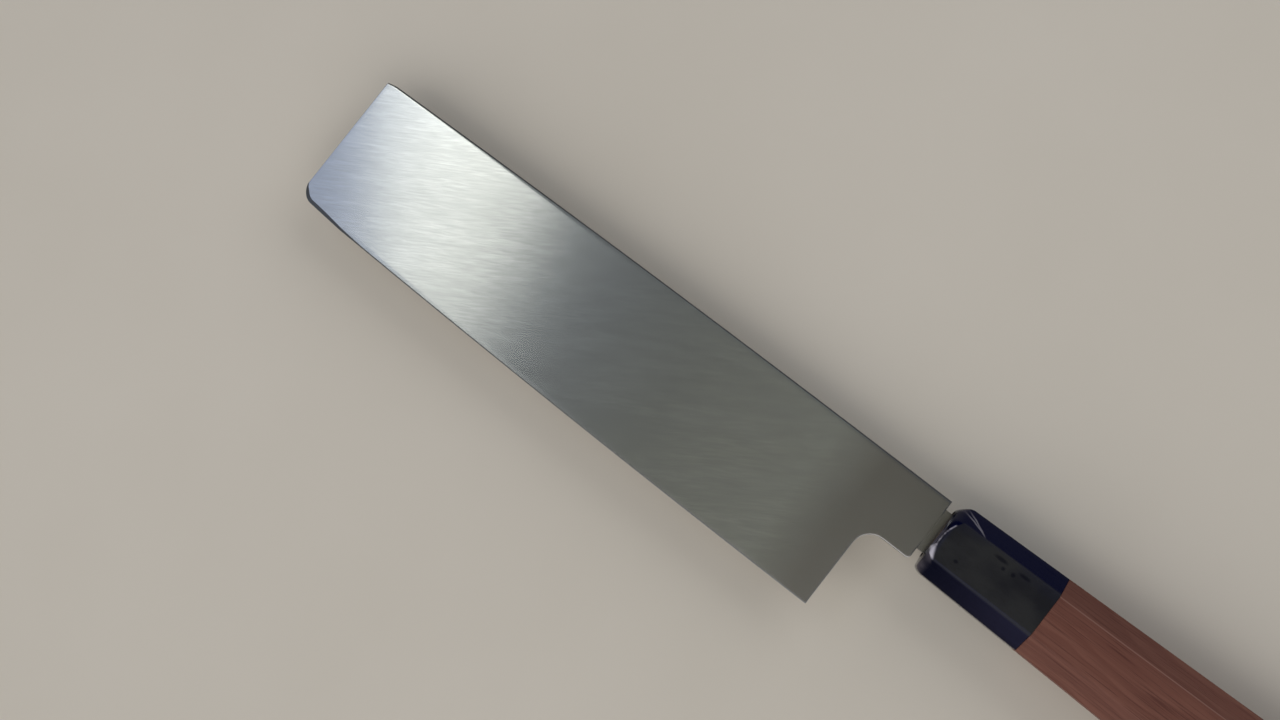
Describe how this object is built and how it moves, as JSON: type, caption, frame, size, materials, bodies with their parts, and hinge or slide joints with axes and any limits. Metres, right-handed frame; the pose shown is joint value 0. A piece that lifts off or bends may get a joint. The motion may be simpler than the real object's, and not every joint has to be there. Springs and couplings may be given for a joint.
{
  "type": "usuba knife",
  "caption": "Square-tipped single-bevel vegetable knife with a laminated blade, a dark horn ferrule and an octagonal reddish hardwood handle.",
  "frame": {"origin": "under the middle of the whole knife's bounding box, level with the lowest point of the handle's lower facet at the butt; the knife lies on its side", "axes": "+X from the blade's tip to the butt, +Y from the cutting edge to the spine, +Z out of the hollow face (ura) of the blade"},
  "size_m": [0.3256, 0.0482, 0.022],
  "materials": {
    "hard_steel": "fine diagonal hand-finished scratches, satin",
    "soft_steel": "fine lengthwise scratches on the flat, hazy along the ground bevel",
    "horn": "polished black horn with a pale streak",
    "red_wood": "sanded reddish hardwood with straight grain, thin oil finish",
    "pale_wood": "bare pale softwood, end grain at the mouth"
  },
  "bodies": {
    "root": {"hagane": "hard_steel", "jigane": "soft_steel", "ferrule": "horn", "handle_body": "red_wood", "core_dowel": "pale_wood"}
  },
  "joints": []
}
